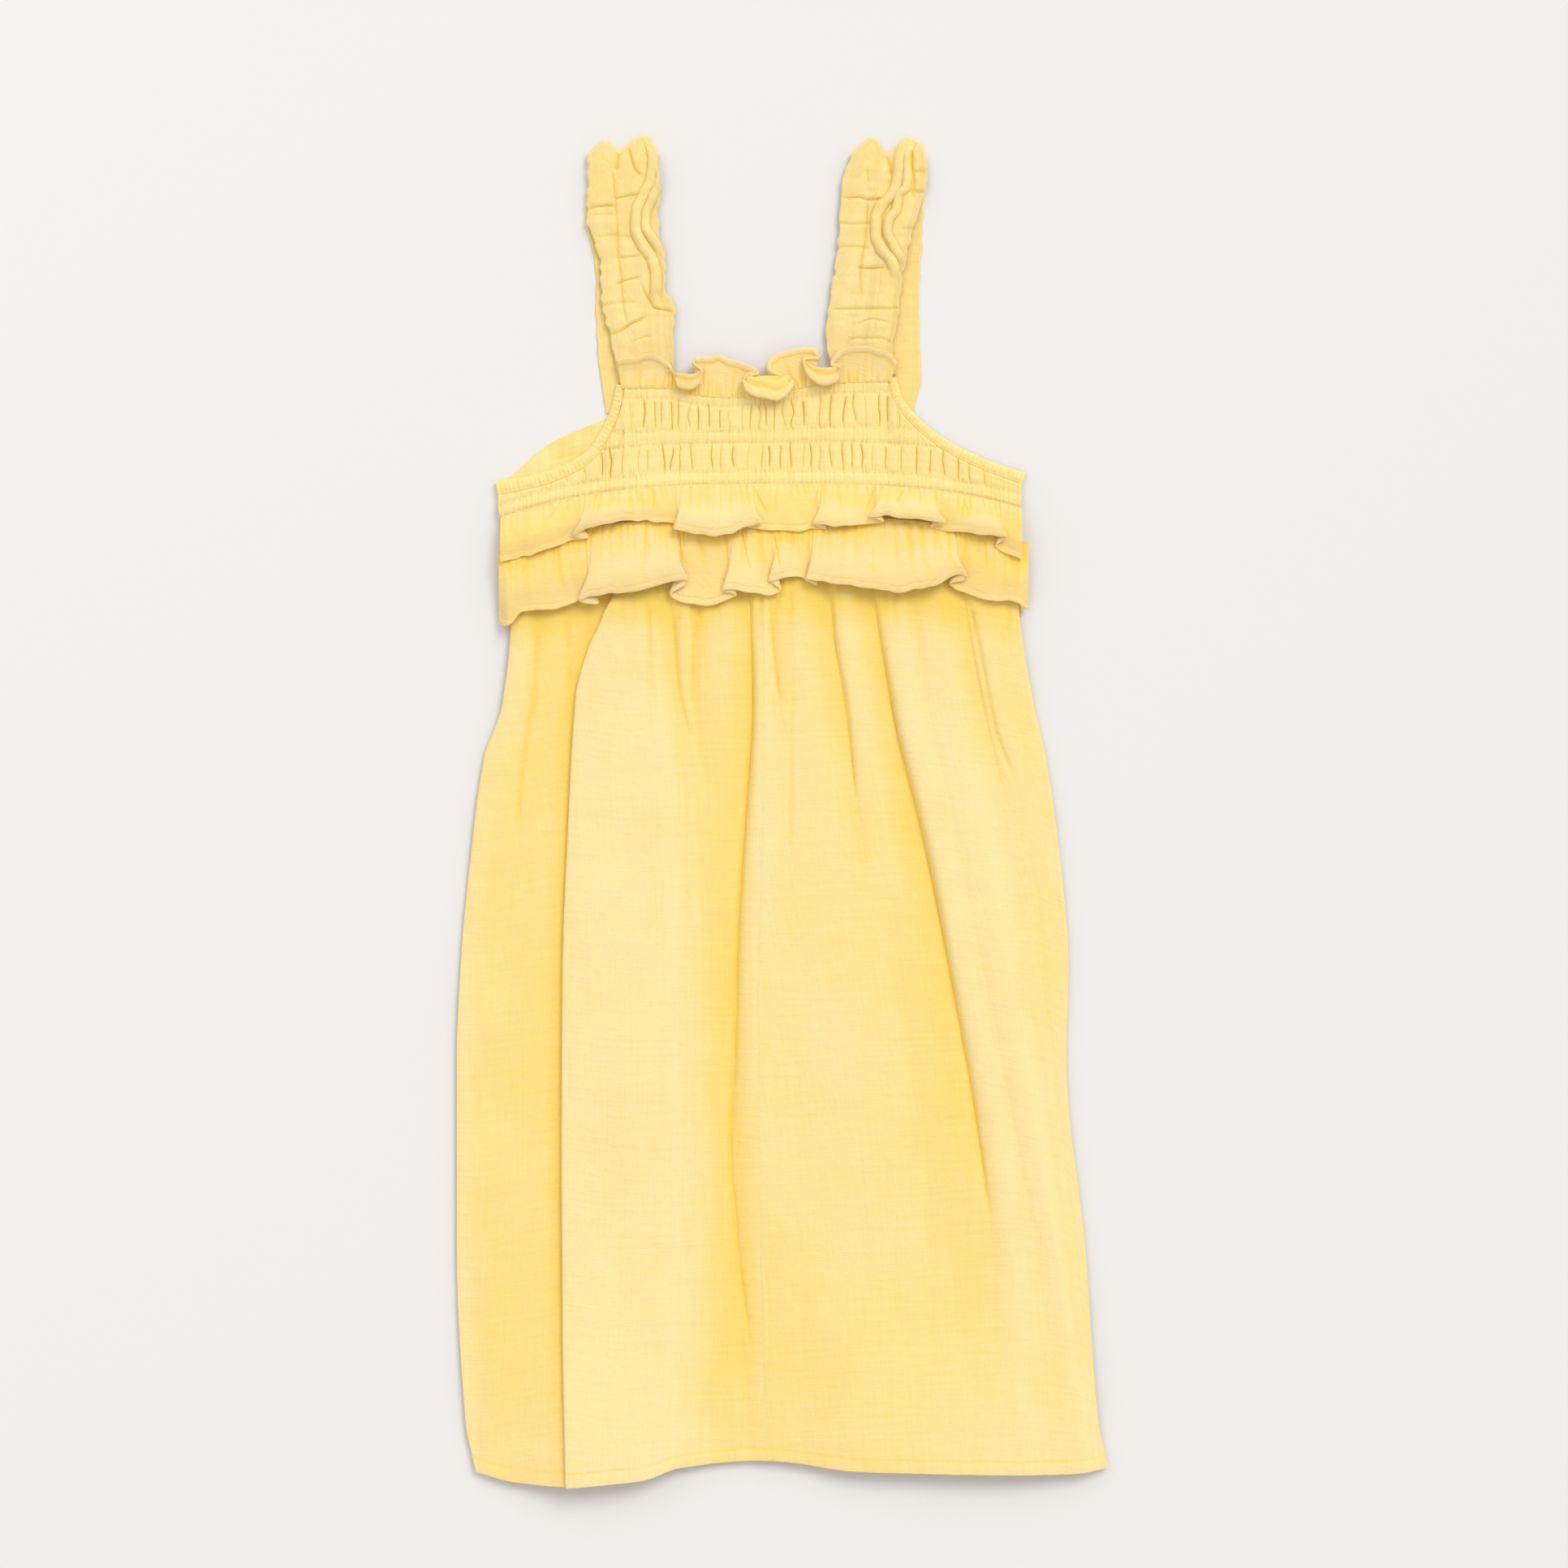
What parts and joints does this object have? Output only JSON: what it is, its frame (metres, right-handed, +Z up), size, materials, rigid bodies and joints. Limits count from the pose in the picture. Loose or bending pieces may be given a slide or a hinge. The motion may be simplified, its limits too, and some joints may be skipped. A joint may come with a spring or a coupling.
{
  "type": "smocked dress",
  "caption": "Sleeveless smocked gauze dress laid flat, with ruched straps, a neck frill, two ruffle tiers at the waist and a gathered skirt.",
  "frame": {"origin": "middle of the dress's outline, on the surface that it lies on", "axes": "+X to the right as the dress lies seen from above, +Y from the hem up to the straps, +Z up from the surface"},
  "size_m": [0.3206, 0.6634, 0.017],
  "materials": {
    "gauze": "matte pale yellow cotton double gauze, softly crinkled",
    "smocked_gauze": "matte pale yellow cotton double gauze, gathered on elastic",
    "ruffle_gauze": "matte pale yellow cotton double gauze, ruffled"
  },
  "bodies": {
    "root": {"skirt_back": "gauze", "skirt_front_left": "gauze", "skirt_front_right": "gauze", "bodice_back": "gauze", "bodice_front": "smocked_gauze", "armhole_binding_left": "smocked_gauze", "armhole_binding_right": "smocked_gauze", "ruffle_upper_front": "ruffle_gauze", "ruffle_lower_front": "ruffle_gauze", "ruffle_upper_back": "ruffle_gauze", "ruffle_lower_back": "ruffle_gauze", "strap_left": "ruffle_gauze", "strap_right": "ruffle_gauze", "neck_frill": "ruffle_gauze"}
  },
  "joints": []
}
